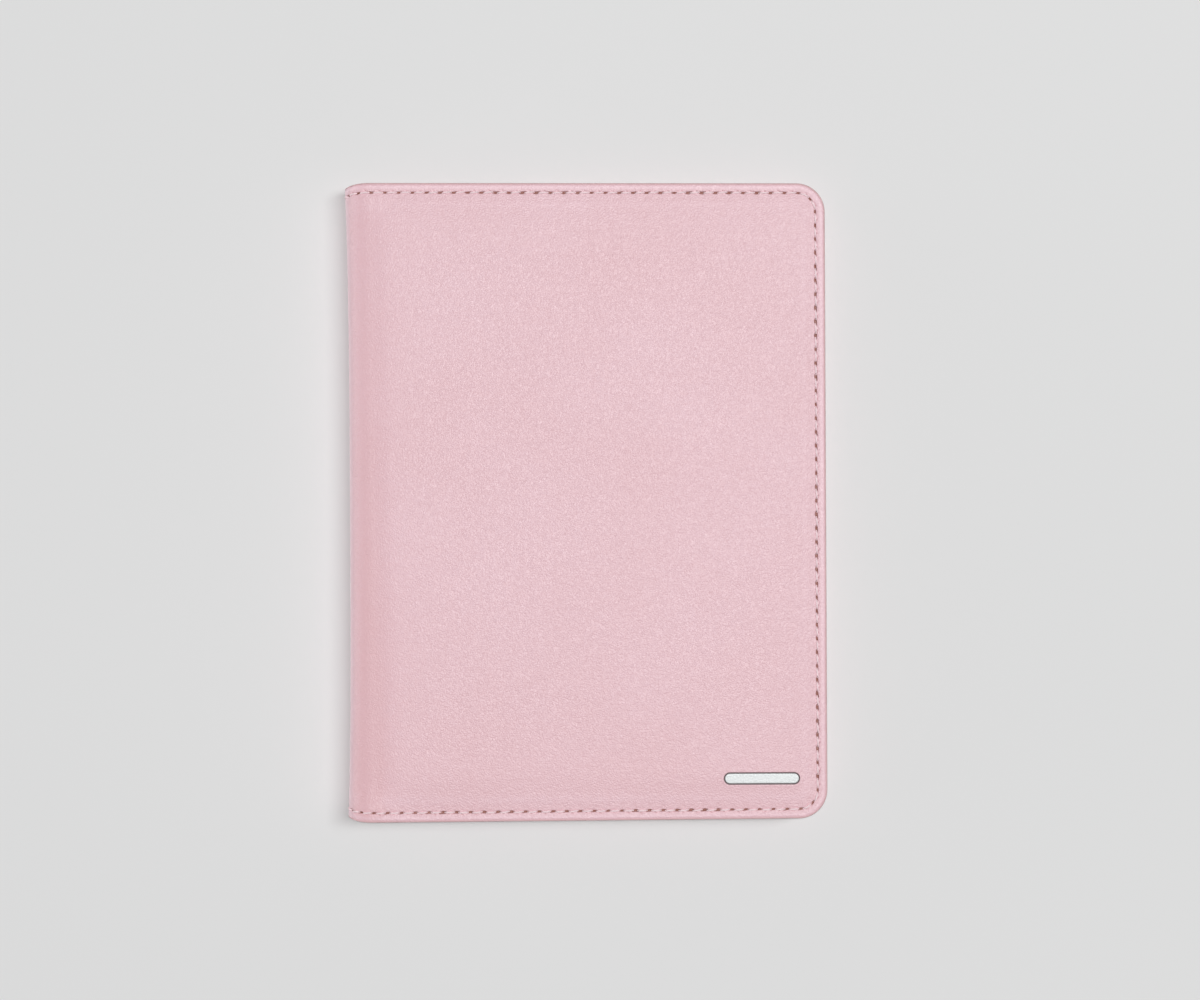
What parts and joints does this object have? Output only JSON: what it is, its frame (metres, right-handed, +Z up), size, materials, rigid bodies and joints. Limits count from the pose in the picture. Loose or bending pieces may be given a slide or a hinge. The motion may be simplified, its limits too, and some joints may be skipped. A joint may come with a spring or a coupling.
{
  "type": "passport holder",
  "caption": "Bifold leather passport holder, with a stitched cover over stiff boards that folds flat open at the spine, card pockets in front and a passport sleeve in each cover.",
  "frame": {"origin": "centre of the closed holder's bounding box in X and Y, on the back cover's resting face", "axes": "+Z up out of the front cover; +Y along the spine towards the head; +X from the spine towards the fore-edge"},
  "size_m": [0.1048, 0.14, 0.0118],
  "materials": {
    "outer_leather": "smooth fine-grained, pale pink",
    "board": "grey-brown board",
    "lining": "plain weave, dusty pink",
    "inner_leather": "smooth, pale pink",
    "edge_paint": "satin edge paint, brownish pink",
    "thread": "bonded sewing thread, pale pink",
    "foil": "satin silver stamping foil"
  },
  "bodies": {
    "back_half": {"outer_cover_back": "outer_leather", "stiffener_back": "board", "lining_back": "lining", "passport_sleeve_back": "inner_leather", "edge_finish_back": "edge_paint", "seam_stitches_back": "thread", "seam_stitches_back_inside": "thread"},
    "front_half": {"outer_cover_front": "outer_leather", "stiffener_front": "board", "lining_front": "lining", "passport_sleeve_front": "inner_leather", "card_pocket_1": "inner_leather", "card_pocket_2": "inner_leather", "card_pocket_3": "inner_leather", "edge_finish_front": "edge_paint", "seam_stitches_front": "thread", "seam_stitches_front_inside": "thread", "pocket_stitches": "thread", "foil_bar": "foil"},
    "spine_1": {"outer_cover_spine_1": "outer_leather", "lining_spine_1": "lining", "edge_finish_spine_1": "edge_paint", "seam_stitches_spine_1": "thread"},
    "spine_2": {"outer_cover_spine_2": "outer_leather", "lining_spine_2": "lining", "edge_finish_spine_2": "edge_paint", "seam_stitches_spine_2": "thread"}
  },
  "joints": [
    {"name": "spine_flex_1", "type": "hinge", "parent": "back_half", "child": "spine_1", "pos_m": [-0.0496, 0, 0.00131], "axis": [0, -1, 0], "range_deg": [0, 60]},
    {"name": "spine_flex_2", "type": "hinge", "parent": "spine_1", "child": "spine_2", "pos_m": [-0.05225, 0, 0.0059], "axis": [0, -1, 0], "range_deg": [0, 60]},
    {"name": "spine_flex_3", "type": "hinge", "parent": "spine_2", "child": "front_half", "pos_m": [-0.0496, 0, 0.01049], "axis": [0, -1, 0], "range_deg": [0, 60]}
  ],
  "couplings": [
    {"joint": "spine_flex_1", "follows": "spine_flex_3", "ratio": 1},
    {"joint": "spine_flex_2", "follows": "spine_flex_3", "ratio": 1}
  ]
}
